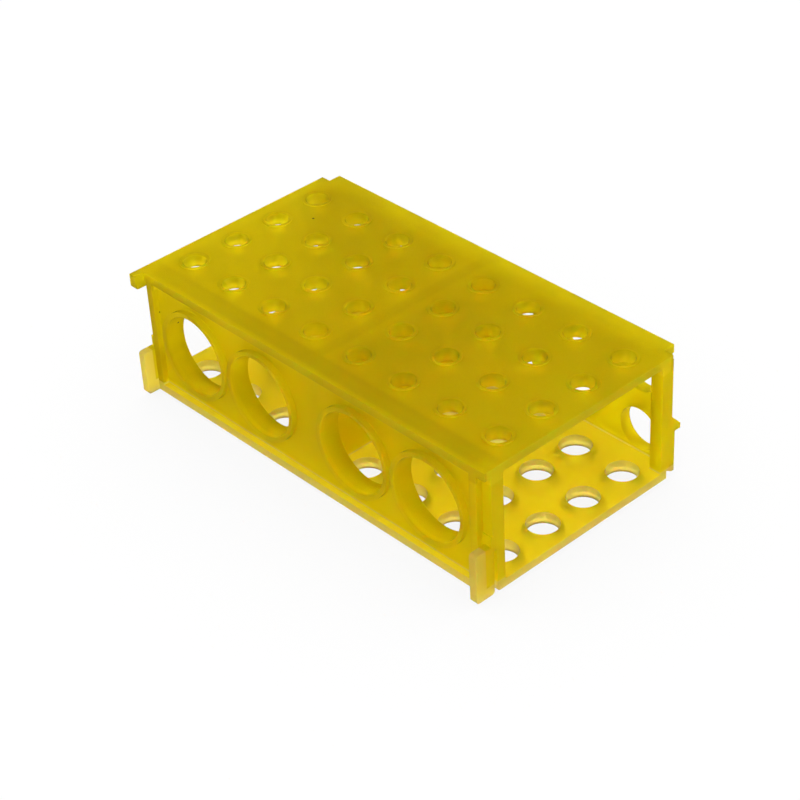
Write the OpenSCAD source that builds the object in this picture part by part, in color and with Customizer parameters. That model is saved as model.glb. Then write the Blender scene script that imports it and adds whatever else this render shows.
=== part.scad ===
// Four-way interlocking tube rack, moulded in one piece.
// X runs along the rack, Y from the large-tube face to the conical-tube face, Z up.
// The origin is the centre of the whole underside, on the plane that the foot collars stand on.

/* [Rack] */
// Length of the rack
rack_len = 174; // [172:2:220]
// Width over the edges of the top and bottom plates
rack_w = 93; // [90:1:120]
// Height over the top and bottom plates
rack_h = 50; // [48:1:70]
// Thickness of the top and bottom plates
plate_t = 3.2; // [2.5:0.1:4.2]
// Thickness of the long wall that holds the large tubes
front_wall_t = 5.8; // [5:0.1:7]
// Thickness of the long wall that holds the conical tubes
back_wall_t = 2.8; // [2.4:0.1:5]
// How far the long walls are set back behind the plate edges
wall_setback = 2.3; // [1.6:0.1:3]
// Thickness of the web that divides the two bays
web_t = 2.8; // [1.6:0.1:5]
// Width of the upright rib at each end of a long wall
end_rib_w = 3; // [1.5:0.5:5]
// How far the ribs of the back wall stop short of the collar rims
back_rib_relief = 0.7; // [0:0.1:1.5]
// Width of the set-back strip between the end rib and the end of the rack
end_strip_w = 4; // [3.4:0.1:5]

/* [Collars] */
// How far the bottom collars stand out below the plate, as feet
foot_out = 1.8; // [0.6:0.1:2]
// How far the top collars stand out above the plate
top_collar_out = 0.4; // [0.2:0.1:1.5]
// How far the top collars reach down below the plate
top_collar_in = 1.4; // [0.5:0.1:3]
// How far the collars of the long walls stand out of the wall
wall_collar_out = 2.3; // [0.4:0.1:2.4]
// Lead-in bevel at the mouth of each tube hole
mouth_bevel = 0.3; // [0.1:0.1:0.6]

/* [Micro tube holes in the top, 0.5 mL] */
// Bore of a small micro tube hole
micro_d = 8.4; // [7:0.1:10]
// Wall of the collar round it
micro_collar_t = 1.3; // [0.8:0.1:2]

/* [Micro tube holes in the bottom, 1.5 mL] */
// Bore of a large micro tube hole
tube_d = 11.9; // [10:0.1:13]
// Wall of the collar round it
tube_collar_t = 1.3; // [0.8:0.1:2]

/* [Micro tube grid] */
// Holes along the length, an even number
grid_cols = 8; // [4:2:8]
// Holes across the width
grid_rows = 4; // [2:1:4]
// Spacing along the length
grid_pitch_x = 21.75; // [16:0.25:22]
// Spacing across the width
grid_pitch_y = 19.5; // [15:0.25:20]

/* [Large tube holes in the front wall, 50 mL] */
// Bore of a large tube hole
large_d = 30.8; // [26:0.2:32]
// Wall of the collar round it
large_collar_t = 1.9; // [0.8:0.1:2]
// Spacing of the two holes of one bay
large_pitch = 36; // [34:0.5:38]
// Distance from the middle of the rack to the middle of a bay's two holes
large_mid = 41.6; // [40:0.2:44]
// Height of the large holes above the underside of the bottom plate
large_z = 25; // [22:0.5:29]

/* [Conical tube holes in the back wall, 15 mL] */
// Bore of a conical tube hole
conical_d = 16.8; // [14:0.2:18]
// Wall of the collar round it
conical_collar_t = 1.2; // [0.8:0.1:2]
// Conical tube holes along the length, an even number
conical_cols = 6; // [4:2:6]
// Spacing along the length
conical_pitch_x = 29; // [24:0.5:29]
// Spacing of the two rows
conical_pitch_z = 24.6; // [20:0.2:26]

/* [Interlocking corners] */
// Thickness of the hooks, catches and the tab along X
hook_t = 3; // [2:0.1:3.3]
// How far the right hook reaches out past the plate edges
hook_reach = 5; // [3:0.5:7]
// Height of the right hook above the underside of the bottom plate
hook_h = 19.5; // [16:0.5:24]
// How far the left hook reaches out past the plate edges
left_hook_reach = 4.4; // [3:0.2:7]
// Height of the left hook above the underside of the bottom plate
left_hook_h = 17; // [14:0.5:24]
// How far the left hook reaches down below the bottom plate
left_hook_low = 0.8; // [0:0.1:1]
// Height of the arm that carries a hook
hook_arm_h = 2; // [1.6:0.1:4]
// Height of the stop on the front strip above the arm
stop_h = 4; // [1:0.5:8]
// How far the stop stands out of the strip
stop_out = 0.7; // [0.2:0.1:1.2]
// Width of the slot behind the hook
slot_w = 1.4; // [0.8:0.1:2]
// Tongue of the front wall that is left behind the slot
tongue_t = 3.6; // [3:0.1:4]
// How far the tab at the upper left corner reaches out past the plate edges
tab_reach = 3.8; // [2:0.1:7]
// Height of the tab
tab_h = 5.7; // [4.6:0.1:10]
// Radius of the hook, tab and tongue corners
corner_r = 1.2; // [0.4:0.1:1.4]
// How far the front end strips are set back behind the wall
front_relief = 0.4; // [0.1:0.1:1.2]

/* [Catches at the back corners] */
// Depth of the notches in the back corners of the top plate
top_notch = 5; // [3:0.5:6]
// Depth of the notches in the back corners of the bottom plate
bottom_notch = 7; // [4:0.5:8]
// Width of the corner posts along X
post_w = 5; // [4.2:0.1:6]
// Depth of the corner posts above the catch
post_t = 5.3; // [4:0.1:7]
// How far the corner posts are set back behind the wall below the catch
post_relief = 0.9; // [0.3:0.1:1.5]
// How much further they are set back above the catch
catch_relief = 1.5; // [0.5:0.1:2]
// Height of the underside of a catch above the underside of the bottom plate
catch_z = 18.1; // [12:0.2:20]
// How far a catch stands out of the post above it
catch_reach = 4.3; // [2.5:0.1:4.7]
// Height of the flat outer face of a catch
catch_face_h = 2; // [1:0.5:5]
// Height of the slope above it
catch_slope_h = 4.6; // [2:0.2:8]

/* [Hidden] */

half_len = rack_len / 2;
half_w = rack_w / 2;
plate_z = foot_out;
top_z = plate_z + rack_h;
floor_z = plate_z + plate_t;
ceiling_z = top_z - plate_t;
front_out = -half_w + wall_setback;
front_in = front_out + front_wall_t;
back_out = half_w - wall_setback;
back_in = back_out - back_wall_t;
front_rim = front_out - wall_collar_out;
back_rim = back_out + wall_collar_out;
strip_x = half_len - end_strip_w;
post_x = half_len - post_w;
hook_x = half_len - hook_t;
strip_front = front_out + front_relief;
slot_back = front_in - tongue_t;
slot_front = slot_back - slot_w;
post_low_out = back_out - post_relief;
post_high_out = post_low_out - catch_relief;
post_in = post_high_out - post_t;
post_foot = plate_z + plate_t / 2;
post_top = top_z - plate_t / 2;
catch_low = plate_z + catch_z;
catch_high = catch_low + catch_face_h;
catch_out = post_high_out + catch_reach;
bottom_corner = half_w - bottom_notch;
front_end = -half_w - max(hook_reach, left_hook_reach, tab_reach);
back_end = max(half_w, catch_out);
mid_shift = -(front_end + back_end) / 2;
eps = 0.5;
fine = 96;
small = 48;

// Places of one row of holes, centred on the middle
function spread(count, pitch) = [for (i = [0 : count - 1]) (i - (count - 1) / 2) * pitch];

// The two hooks differ in reach and height
function reach_of(side) = side > 0 ? hook_reach : left_hook_reach;
function hook_top(side) = plate_z + (side > 0 ? hook_h : left_hook_h);
function hook_low(side) = plate_z - (side > 0 ? 0 : left_hook_low);
function slot_top(side) = hook_top(side) - hook_arm_h;

grid_x = spread(grid_cols, grid_pitch_x);
grid_y = spread(grid_rows, grid_pitch_y);
large_x = [for (side = [-1, 1], i = [-0.5, 0.5]) side * large_mid + i * large_pitch];
conical_x = spread(conical_cols, conical_pitch_x);
conical_mid_z = plate_z + rack_h / 2;
conical_z = [for (i = [-0.5, 0.5]) conical_mid_z + i * conical_pitch_z];

top_hole_len = top_collar_in + plate_t + top_collar_out;
bottom_hole_len = plate_t + foot_out;
front_hole_len = front_wall_t + wall_collar_out;
back_hole_len = back_wall_t + wall_collar_out;

// A block given by its two opposite corners
module block(low, high) {
    translate(low) cube(high - low);
}

// Rectangle in Y and Z given by its two opposite corners
module panel(low, high) {
    translate(low) square(high - low);
}

// The same with its four corners rounded
module soft_panel(low, high, r) {
    panel([low[0] + r, low[1]], [high[0] - r, high[1]]);
    panel([low[0], low[1] + r], [high[0], high[1] - r]);
    for (y = [low[0] + r, high[0] - r], z = [low[1] + r, high[1] - r])
        translate([y, z]) circle(r, $fn = small);
}

// Extrudes a profile drawn in Y and Z along X, on the right end or mirrored to the left
module at_end(side, low_x, high_x) {
    x = side > 0 ? low_x : -high_x;
    translate([x, 0, 0]) rotate([90, 0, 90]) linear_extrude(high_x - low_x) children();
}

// One plate with its front and back corners cut back, in plan
module plate(front_cut, back_cut) {
    linear_extrude(plate_t)
        difference() {
            translate([-half_len, -half_w]) square([rack_len, rack_w]);
            for (side = [-1, 1]) {
                if (front_cut > 0) corner_cut(side, -1, front_cut);
                if (back_cut > 0) corner_cut(side, 1, back_cut);
            }
        }
}

// Cut in one corner of a plate, in plan
module corner_cut(side_x, side_y, depth) {
    mid_x = side_x * (half_len - end_strip_w / 2 + eps / 2);
    mid_y = side_y * (half_w - depth / 2 + eps / 2);
    translate([mid_x, mid_y]) square([end_strip_w + eps, depth + eps], center = true);
}

module plates() {
    slot_cut = half_w + slot_back + corner_r;
    translate([0, 0, ceiling_z]) plate(0, top_notch);
    translate([0, 0, plate_z]) plate(slot_cut, bottom_notch);
}

// The long walls between the end strips, with a rib as proud as the collars at each end
module long_walls() {
    wall([-strip_x, strip_x], [front_out, front_in]);
    wall([-strip_x, strip_x], [back_in, back_out]);
    for (side = [-1, 1]) {
        rib = side > 0 ? [strip_x - end_rib_w, strip_x] : [-strip_x, end_rib_w - strip_x];
        wall(rib, [front_rim, front_out + eps]);
        wall(rib, [back_out - eps, back_rim - back_rib_relief]);
    }
}

// Upright block that runs into both plates
module wall(x, y) {
    block([x[0], y[0], floor_z - eps], [x[1], y[1], ceiling_z + eps]);
}

module web() {
    wall([-web_t / 2, web_t / 2], [front_in - eps, back_in + eps]);
}

// Front end strip: full depth above the slot, a stop over the arm, a rounded tongue behind the slot
module front_strip(side) {
    at_end(side, strip_x - eps, half_len) {
        panel([strip_front, slot_top(side)], [front_in, top_z - eps]);
        panel([strip_front - stop_out, slot_top(side)], [front_in, hook_top(side) + stop_h]);
        soft_panel([slot_back, plate_z], [front_in, slot_top(side) + corner_r + eps], corner_r);
    }
}

// Hook that hangs from an arm below mid height and leaves a slot open to the floor
module hook(side) {
    arm_low = slot_top(side);
    arm_high = hook_top(side);
    at_end(side, hook_x, half_len) {
        soft_panel([-half_w - reach_of(side), hook_low(side)], [slot_front, arm_high], corner_r);
        panel([slot_front - 2 * corner_r, arm_low], [slot_back + eps, arm_high]);
    }
}

// Tab at the upper left corner, which drops into a neighbour's notch
module tab() {
    low = [-half_w - tab_reach, top_z - tab_h];
    at_end(-1, hook_x, half_len) {
        panel([low[0] + corner_r, low[1]], [strip_front + eps, top_z]);
        panel([low[0], low[1] + corner_r], [strip_front, top_z]);
        translate([low[0] + corner_r, low[1] + corner_r]) circle(corner_r, $fn = small);
    }
}

// Back corner post: set back above the catch, and its foot slopes out over the notch
module post(side) {
    at_end(side, post_x, half_len) {
        panel([post_in, floor_z], [post_high_out, post_top]);
        panel([post_in, plate_z + eps], [bottom_corner, floor_z + eps]);
        polygon([
            [post_in, floor_z],
            [bottom_corner, floor_z],
            [post_low_out - corner_r, post_foot],
            [post_low_out, post_foot],
            [post_low_out, catch_low + eps],
            [post_in, catch_low + eps],
        ]);
    }
}

// Sloped catch that a neighbour's hook slides past and snaps under
module catch(side) {
    at_end(side, hook_x, half_len)
        polygon([
            [post_in, catch_low],
            [catch_out, catch_low],
            [catch_out, catch_high],
            [post_high_out, catch_high + catch_slope_h],
            [post_in, catch_high + catch_slope_h],
        ]);
}

module corners() {
    for (side = [-1, 1]) {
        front_strip(side);
        hook(side);
        post(side);
        catch(side);
    }
    tab();
}

// Collar round a tube hole, started inside its wall so that it joins it
module collar(bore, collar_t, start, length) {
    translate([0, 0, start]) cylinder(d = bore + 2 * collar_t, h = length - start, $fn = fine);
}

// Hole through a wall, with its lead-in bevel at the mouth; the mouth is at the far end
module tube_hole(bore, length) {
    flare = mouth_bevel + eps;
    translate([0, 0, -eps]) cylinder(d = bore, h = length + 2 * eps, $fn = fine);
    translate([0, 0, length - mouth_bevel])
        cylinder(d1 = bore, d2 = bore + 2 * flare, h = flare, $fn = fine);
}

// Runs its child at each hole of the top, mouth up
module at_top_holes() {
    for (x = grid_x, y = grid_y) translate([x, y, ceiling_z - top_collar_in]) children();
}

// Runs its child at each hole of the bottom, mouth down
module at_bottom_holes() {
    for (x = grid_x, y = grid_y) translate([x, y, floor_z]) mirror([0, 0, 1]) children();
}

// Runs its child at each large hole, mouth to the front
module at_large_holes() {
    for (x = large_x) translate([x, front_in, plate_z + large_z]) rotate([90, 0, 0]) children();
}

// Runs its child at each conical tube hole, mouth to the back
module at_conical_holes() {
    for (x = conical_x, z = conical_z) translate([x, back_in, z]) rotate([-90, 0, 0]) children();
}

module collars() {
    at_top_holes() collar(micro_d, micro_collar_t, 0, top_hole_len);
    at_bottom_holes() collar(tube_d, tube_collar_t, eps, bottom_hole_len);
    at_large_holes() collar(large_d, large_collar_t, eps, front_hole_len);
    at_conical_holes() collar(conical_d, conical_collar_t, eps, back_hole_len);
}

module tube_holes() {
    at_top_holes() tube_hole(micro_d, top_hole_len);
    at_bottom_holes() tube_hole(tube_d, bottom_hole_len);
    at_large_holes() tube_hole(large_d, front_hole_len);
    at_conical_holes() tube_hole(conical_d, back_hole_len);
}

module rack_body() {
    color("#c9a400")
    translate([0, mid_shift, 0])
    difference() {
        union() {
            plates();
            long_walls();
            web();
            corners();
            collars();
        }
        tube_holes();
    }
}

rack_body();
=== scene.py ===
# Four-way tube rack in translucent yellow polypropylene, on a white table that is lit from above and below.
import math
import bpy
from mathutils import Matrix, Vector


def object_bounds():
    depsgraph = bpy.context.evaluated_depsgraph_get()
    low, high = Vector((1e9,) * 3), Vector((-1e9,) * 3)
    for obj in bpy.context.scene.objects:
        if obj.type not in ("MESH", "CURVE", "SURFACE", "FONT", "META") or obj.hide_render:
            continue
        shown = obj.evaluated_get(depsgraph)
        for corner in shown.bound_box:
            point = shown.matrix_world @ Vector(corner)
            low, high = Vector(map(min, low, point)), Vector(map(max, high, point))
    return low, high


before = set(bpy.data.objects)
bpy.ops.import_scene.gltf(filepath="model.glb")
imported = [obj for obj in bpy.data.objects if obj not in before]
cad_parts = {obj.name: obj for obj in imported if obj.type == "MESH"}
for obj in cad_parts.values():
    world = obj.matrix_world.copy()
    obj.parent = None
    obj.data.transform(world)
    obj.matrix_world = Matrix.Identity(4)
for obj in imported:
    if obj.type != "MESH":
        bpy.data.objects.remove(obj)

cadLow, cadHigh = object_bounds()
scene = bpy.context.scene
print("frame loaded, box", [round(v, 4) for v in (*cadLow, *cadHigh)])


def addNode(tree, kind, x, y, **settings):
    node = tree.nodes.new(kind)
    node.location = (x, y)
    for key, value in settings.items():
        setattr(node, key, value)
    return node


def setInputs(node, values):
    for key, value in values.items():
        node.inputs[key].default_value = value


def addMath(tree, kind, x, y, *values):
    node = addNode(tree, "ShaderNodeMath", x, y, operation=kind)
    for socket, value in zip(node.inputs, values):
        if isinstance(value, (int, float)):
            socket.default_value = value
        else:
            tree.links.new(value, socket)
    return node.outputs["Value"]


# start becomes low and end becomes high; beyond them the result stays there
def addRange(tree, value, x, y, start, end, low=0.0, high=1.0, curve="LINEAR"):
    span = addNode(tree, "ShaderNodeMapRange", x, y, interpolation_type=curve)
    setInputs(span, {"From Min": start, "From Max": end, "To Min": low, "To Max": high})
    tree.links.new(value, span.inputs["Value"])
    return span.outputs["Result"]


def splitAxes(tree, vector, x, y):
    split = addNode(tree, "ShaderNodeSeparateXYZ", x, y)
    tree.links.new(vector, split.inputs["Vector"])
    return split.outputs["X"], split.outputs["Y"], split.outputs["Z"]


def newMaterial(name):
    material = bpy.data.materials.new(name)
    material.use_nodes = True
    tree = material.node_tree
    tree.nodes.clear()
    return material, tree


cameraSettings = {
    "azimuth": 48.74,  # degrees round from the large-hole face towards the right end
    "elevation": 35.58,
    "roll": -3.375,
    "distance": 0.79,  # metres
    "aim": (-0.0042, 0.0032, 0.0102),
    "lens": 100.2,  # mm
    "sensor": 36,  # mm
    "shift": 0.00075,
    "nearest": 0.01,  # metres
    "farthest": 20,
}


def makeCamera(s):
    turn, rise, roll = (math.radians(s[key]) for key in ("azimuth", "elevation", "roll"))
    back = Vector((math.sin(turn) * math.cos(rise), -math.cos(turn) * math.cos(rise), math.sin(rise)))
    level = Vector((math.cos(turn), math.sin(turn), 0))
    right = level * math.cos(roll) + back.cross(level) * math.sin(roll)
    up = back.cross(right)
    place = Vector(s["aim"]) + back * s["distance"]
    data = bpy.data.cameras.new("rackCamera")
    camera = bpy.data.objects.new("rackCamera", data)
    scene.collection.objects.link(camera)
    camera.matrix_world = Matrix.Translation(place) @ Matrix((right, up, back)).transposed().to_4x4()
    data.lens = s["lens"]
    data.sensor_width = s["sensor"]
    data.shift_x = data.shift_y = s["shift"]
    data.clip_start = s["nearest"]
    data.clip_end = s["farthest"]
    scene.camera = camera


makeCamera(cameraSettings)
print("camera placed")

# Translucent polypropylene: most light passes through it blurred, and the rest scatters below the skin.
# The colours below are laid over each other in makePlastic; apart from the base colour, its drift and the
# specks, they are painted light and shade. Lengths are in metres.
plasticSettings = {
    "color": (0.91, 0.74, 0.001),
    "colorDeep": (0.88, 0.71, 0.001),  # what it drifts to
    "colorLeftShade": (0.74, 0.57, 0.001),  # painted shade at the left end
    "colorWallShade": (0.55, 0.405, 0.001),  # painted shade over the long walls and the web
    "colorEdgeLight": (1.0, 0.805, 0.003),  # painted light, paler, on upright faces at a plate: its short edges, and the walls of its holes
    "colorBottomLight": (0.98, 0.755, 0.005),  # painted light from below on the bottom plate
    "colorBoreLight": (1.0, 0.84, 0.10),  # painted light on the walls of its holes
    "colorRimSheen": (0.93, 0.75, 0.035),  # painted sheen on its outer edges, and on the hooks
    "colorSpeck": (0.02, 0.015, 0.001),
    "specks": (  # place and radius
        (-0.0669, 0.0216, 0.0518, 0.00045),
        (-0.0804, -0.0417, 0.0358, 0.00055),
        (-0.0739, -0.0386, 0.0325, 0.0004),
    ),
    "speckBlur": 0.3,  # share of the radius
    "fade": 0.001,  # over which one colour passes into the next
    "leftReach": 0.05,
    "thickReach": 0.008,  # how deep below a face the plastic counts
    "thickFrom": 0.30,  # share of the inward directions that stay in plastic
    "thickTo": 0.70,
    "thickSamples": 4,
    "longEdgeFrom": 0.0065,  # how far in from the widest points the long edges begin
    "longEdgeShare": 0.5,  # share of the painted wall shade on the plates' long edges
    "plateDepth": 0.006,  # how far in from the top and the underside the plates' colours reach
    "hookReach": 0.0047,  # how far in from their tips the painted sheen of the hooks reaches
    "hookHeight": 0.024,  # and how far up
    "levelFrom": 0.7,  # upward part of the normal, where the colours of upright faces begin
    "levelTo": 0.3,  # and where they are full
    "roughness": 0.85,
    "roughnessSpread": 0.12,
    "passes": 0.76,  # share of the light that goes through
    "refraction": 1.3,
    "specular": 0.0,
    "specularTint": (1.0, 0.75, 0.0),
    "scatterShare": 1.0,  # of the rest
    "scatterDepth": 0.02,
    "scatterTint": (1.0, 0.75, 0.1),
    "edgeRadius": 0.0004,
    "edgeSamples": 8,
    "cloudScale": 40.0,  # per metre
    "cloudDetail": 3.0,
    "waveScale": 90.0,
    "waveDetail": 2.0,
    "waveHeight": 0.00012,
    "grainScale": 1800.0,
    "grainDetail": 2.0,
    "grainHeight": 0.000012,
    "noiseLow": 0.3,  # the part of the noise that is used
    "noiseHigh": 0.7,
}


def addNoise(tree, place, x, y, scale, detail):
    noise = addNode(tree, "ShaderNodeTexNoise", x, y)
    setInputs(noise, {"Scale": scale, "Detail": detail})
    tree.links.new(place, noise.inputs["Vector"])
    return noise.outputs["Fac"]


def addBump(tree, height, normal, x, y, distance):
    bump = addNode(tree, "ShaderNodeBump", x, y)
    bump.inputs["Distance"].default_value = distance
    tree.links.new(height, bump.inputs["Height"])
    tree.links.new(normal, bump.inputs["Normal"])
    return bump.outputs["Normal"]


def addBlend(tree, mask, x, y, first, second):
    blend = addNode(tree, "ShaderNodeMix", x, y, data_type="RGBA")
    tree.links.new(mask, blend.inputs["Factor"])
    for key, color in (("A", first), ("B", second)):
        if isinstance(color, tuple):
            blend.inputs[key].default_value = (*color, 1)
        else:
            tree.links.new(color, blend.inputs[key])
    return blend.outputs["Result"]


def addSpecks(tree, place, s):
    mask = None
    for row, (*spot, radius) in enumerate(s["specks"]):
        y = -1500 - 300 * row
        gap = addNode(tree, "ShaderNodeVectorMath", -2200, y, operation="DISTANCE")
        gap.inputs[1].default_value = spot
        tree.links.new(place, gap.inputs[0])
        outer, inner = radius * (1 + s["speckBlur"]), radius * (1 - s["speckBlur"])
        dot = addRange(tree, gap.outputs["Value"], -1800, y, outer, inner)
        mask = dot if mask is None else addMath(tree, "MAXIMUM", -1400, y, mask, dot)
    return mask


# Each mask is 1 where its colour shows, and a later one lies over those before it.
def addMasks(tree, place, s):
    fade = s["fade"]
    along, across, height = splitAxes(tree, place, -2400, 0)
    normal = addNode(tree, "ShaderNodeNewGeometry", -2600, 900).outputs["True Normal"]
    level = addMath(tree, "ABSOLUTE", -2200, 900, splitAxes(tree, normal, -2400, 900)[2])
    upright = addRange(tree, level, -1800, 900, s["levelFrom"], s["levelTo"])

    # painted shade: a level face is darker where a wall or the web stands below it
    inside = addNode(tree, "ShaderNodeAmbientOcclusion", -2200, 1200, inside=True, only_local=True)
    inside.samples = s["thickSamples"]
    inside.inputs["Distance"].default_value = s["thickReach"]
    backed = addRange(tree, inside.outputs["AO"], -1800, 1200, s["thickFrom"], s["thickTo"])
    shadeOverWall = addMath(tree, "MULTIPLY", -1600, 1200, backed, level)

    # upright faces of both plates, and which of them are the long outer edges
    offMiddle = addMath(tree, "SUBTRACT", -2200, 600, height, (cadLow[2] + cadHigh[2]) / 2)
    fromMiddle = addMath(tree, "ABSOLUTE", -2000, 600, offMiddle)
    plateStart = (cadHigh[2] - cadLow[2]) / 2 - s["plateDepth"]
    atPlate = addRange(tree, fromMiddle, -1800, 600, plateStart - fade, plateStart)
    plateSide = addMath(tree, "MULTIPLY", -1600, 750, atPlate, upright)
    fromCentre = addMath(tree, "ABSOLUTE", -2200, 300, across)
    edgeStart = cadHigh[1] - s["longEdgeFrom"]
    outAcross = addRange(tree, fromCentre, -1800, 300, edgeStart, edgeStart + fade)
    longEdge = addMath(tree, "MULTIPLY", -1400, 600, plateSide, outAcross)
    # painted shade on the long outer edges and over the walls and the web, and painted light on the plates'
    # other upright faces
    longShade = addMath(tree, "MULTIPLY", -1200, 800, longEdge, s["longEdgeShare"])
    wallShade = addMath(tree, "MAXIMUM", -1000, 1000, shadeOverWall, longShade)
    edgeLight = addMath(tree, "SUBTRACT", -1000, 700, plateSide, longEdge)

    # painted shade towards the left end
    left = addRange(tree, along, -1800, -300, cadLow[0] + s["leftReach"], cadLow[0])

    # painted light on the bottom plate and the walls of its holes, and painted sheen on its outer edges with
    # the hooks
    bottom = addRange(tree, height, -1800, -1200, s["plateDepth"], s["plateDepth"] - fade)
    bore = addMath(tree, "MULTIPLY", -1600, -1100, bottom, upright)
    fromWeb = addMath(tree, "ABSOLUTE", -2200, 0, along)
    outAlong = addRange(tree, fromWeb, -1800, 0, cadHigh[0] - fade, cadHigh[0] - fade / 2)
    outward = addMath(tree, "MAXIMUM", -1600, 150, outAcross, outAlong)
    lowEdge = addMath(tree, "MULTIPLY", -1400, -950, bore, outward)
    hookStart = cadLow[1] + s["hookReach"]
    beyond = addRange(tree, across, -1800, -600, hookStart, hookStart - fade / 2)
    lowDown = addRange(tree, height, -1800, -900, s["hookHeight"] + fade, s["hookHeight"])
    hook = addMath(tree, "MULTIPLY", -1600, -700, beyond, lowDown)
    rim = addMath(tree, "MAXIMUM", -1200, -800, lowEdge, hook)

    return {
        "colorLeftShade": left,
        "colorWallShade": wallShade,
        "colorEdgeLight": edgeLight,
        "colorBottomLight": bottom,
        "colorBoreLight": bore,
        "colorRimSheen": rim,
        "colorSpeck": addSpecks(tree, place, s),
    }


def makePlastic(s):
    material, tree = newMaterial("yellowPolypropylene")
    out = addNode(tree, "ShaderNodeOutputMaterial", 950, 0)
    shader = addNode(tree, "ShaderNodeBsdfPrincipled", 650, 0, subsurface_method="RANDOM_WALK_SKIN")
    tree.links.new(shader.outputs["BSDF"], out.inputs["Surface"])
    setInputs(shader, {
        "IOR": s["refraction"],
        "Transmission Weight": s["passes"],
        "Specular IOR Level": s["specular"],
        "Specular Tint": (*s["specularTint"], 1),
        "Subsurface Weight": s["scatterShare"],
        "Subsurface Radius": s["scatterTint"],
        "Subsurface Scale": s["scatterDepth"],
    })

    place = addNode(tree, "ShaderNodeTexCoord", -2600, 0).outputs["Object"]
    cloud = addNoise(tree, place, -1400, 300, s["cloudScale"], s["cloudDetail"])
    wave = addNoise(tree, place, -400, -100, s["waveScale"], s["waveDetail"])
    grain = addNoise(tree, place, -400, -450, s["grainScale"], s["grainDetail"])

    # the colour drifts slightly, as it does in moulded plastic
    drift = addRange(tree, cloud, -1200, 300, s["noiseLow"], s["noiseHigh"])
    color = addBlend(tree, drift, -900, 300, s["colorDeep"], s["color"])
    for step, (tone, mask) in enumerate(addMasks(tree, place, s).items()):
        color = addBlend(tree, mask, -700 + 180 * step, 300, color, s[tone])
    tree.links.new(color, shader.inputs["Base Color"])

    half = s["roughnessSpread"] / 2
    smooth, coarse = s["roughness"] - half, s["roughness"] + half
    rough = addRange(tree, wave, -150, -50, s["noiseLow"], s["noiseHigh"], smooth, coarse)
    tree.links.new(rough, shader.inputs["Roughness"])

    # softened edges, a slightly uneven face and a fine satin grain
    edge = addNode(tree, "ShaderNodeBevel", -150, -600, samples=s["edgeSamples"])
    edge.inputs["Radius"].default_value = s["edgeRadius"]
    uneven = addBump(tree, wave, edge.outputs["Normal"], 100, -400, s["waveHeight"])
    satin = addBump(tree, grain, uneven, 350, -400, s["grainHeight"])
    tree.links.new(satin, shader.inputs["Normal"])
    return material


plastic = makePlastic(plasticSettings)
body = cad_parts["rack_body"]
body.data.materials.clear()
body.data.materials.append(plastic)
print("plastic made")

# A white translucent table, which most of the light from below comes through.
# The camera sees nearly plain white, with a soft shade round the rack.
floorSettings = {
    "size": 6.0,  # metres
    "color": 0.94,
    "passes": 0.85,  # share of the light that comes through from below
    "glow": 0.9,  # share of plain white in what the camera sees
    "shade": 0.12,
    "shadeReach": 0.12,
    "shadeSamples": 8,
}


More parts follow.
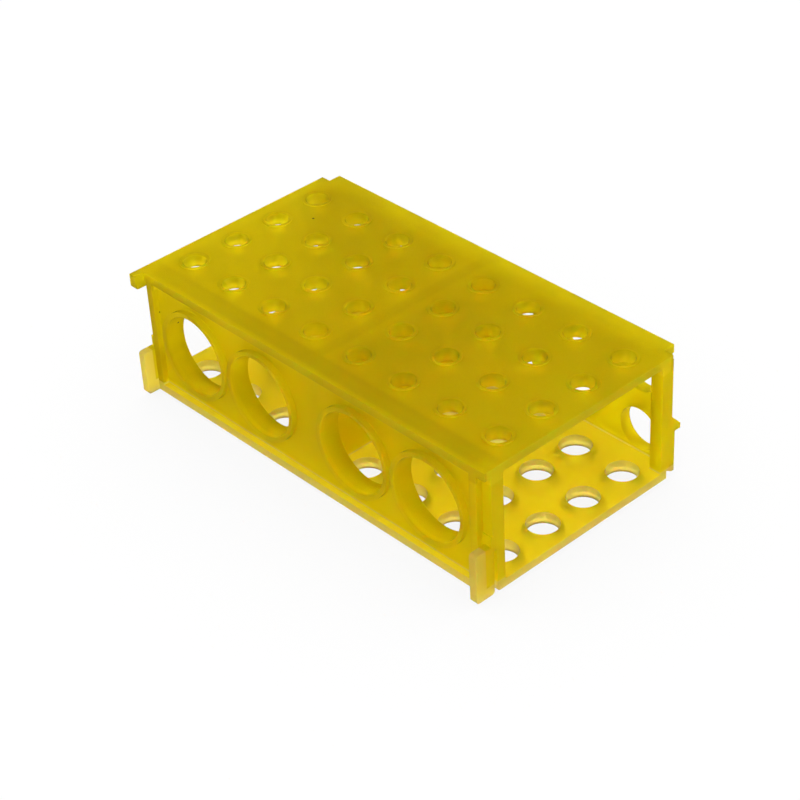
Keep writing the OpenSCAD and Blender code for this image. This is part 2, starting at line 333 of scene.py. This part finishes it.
def makeFloor(s):
    half = s["size"] / 2
    corners = [(-half, -half, 0), (half, -half, 0), (half, half, 0), (-half, half, 0)]
    mesh = bpy.data.meshes.new("floor")
    mesh.from_pydata(corners, [], [(0, 1, 2, 3)])
    floor = bpy.data.objects.new("floor", mesh)
    scene.collection.objects.link(floor)

    material, tree = newMaterial("whiteFloor")
    out = addNode(tree, "ShaderNodeOutputMaterial", 600, 0)
    sheet = addNode(tree, "ShaderNodeMixShader", 100, 0)
    sheet.inputs[0].default_value = s["passes"]
    for slot, kind in ((1, "ShaderNodeBsdfDiffuse"), (2, "ShaderNodeBsdfTranslucent")):
        layer = addNode(tree, kind, -100, 150 - 150 * slot)
        layer.inputs["Color"].default_value = (s["color"], s["color"], s["color"], 1)
        tree.links.new(layer.outputs["BSDF"], sheet.inputs[slot])

    shade = addNode(tree, "ShaderNodeAmbientOcclusion", -400, -350, samples=s["shadeSamples"])
    shade.inputs["Distance"].default_value = s["shadeReach"]
    glow = addNode(tree, "ShaderNodeEmission", 100, -300)
    glow.inputs["Color"].default_value = (1, 1, 1, 1)
    strength = addRange(tree, shade.outputs["AO"], -200, -350, 0.0, 1.0, 1 - s["shade"], 1.0)
    tree.links.new(strength, glow.inputs["Strength"])

    seen = addNode(tree, "ShaderNodeLightPath", -200, 400).outputs["Is Camera Ray"]
    both = addNode(tree, "ShaderNodeMixShader", 350, 0)
    tree.links.new(addMath(tree, "MULTIPLY", 100, 200, seen, s["glow"]), both.inputs[0])
    tree.links.new(sheet.outputs["Shader"], both.inputs[1])
    tree.links.new(glow.outputs["Emission"], both.inputs[2])
    tree.links.new(both.outputs["Shader"], out.inputs["Surface"])
    mesh.materials.append(material)


makeFloor(floorSettings)
print("floor made")

# Soft light from all round: brighter overhead and from below than at the horizon,
# and stronger from the right than from the left.
worldSettings = {
    "horizon": 0.6,
    "above": 1.24,
    "below": 1.36,
    "fullAbove": 0.9,  # upward part of the direction where the light from above is full
    "fullBelow": -0.3,  # and the light from below
    "leftShare": 0.35,
    "rightShare": 1.42,
}


def makeWorld(s):
    world = bpy.data.worlds.new("softBox")
    scene.world = world
    world.use_nodes = True
    tree = world.node_tree
    direction = addNode(tree, "ShaderNodeTexCoord", -1200, 0).outputs["Generated"]
    toRight, _, upward = splitAxes(tree, direction, -1000, 0)
    side = addRange(tree, toRight, -800, 300, -1.0, 1.0, s["leftShare"], s["rightShare"])
    sky = addRange(tree, upward, -800, 0, 0.0, s["fullAbove"], s["horizon"], s["above"], "SMOOTHSTEP")
    ground = addRange(tree, upward, -800, -300, s["fullBelow"], 0.0, s["below"], 0.0, "SMOOTHSTEP")
    byHeight = addMath(tree, "MAXIMUM", -600, 0, sky, ground)
    level = addMath(tree, "MULTIPLY", -400, 100, byHeight, side)

    # what the camera sees of it is plain white
    seen = addNode(tree, "ShaderNodeLightPath", -600, 600).outputs["Is Camera Ray"]
    strength = addMath(tree, "MAXIMUM", -200, 300, level, seen)
    light = tree.nodes["Background"]
    light.inputs["Color"].default_value = (1, 1, 1, 1)
    tree.links.new(strength, light.inputs["Strength"])


makeWorld(worldSettings)
scene.view_settings.view_transform = "Standard"
print("light made")

bpy.context.view_layer.update()
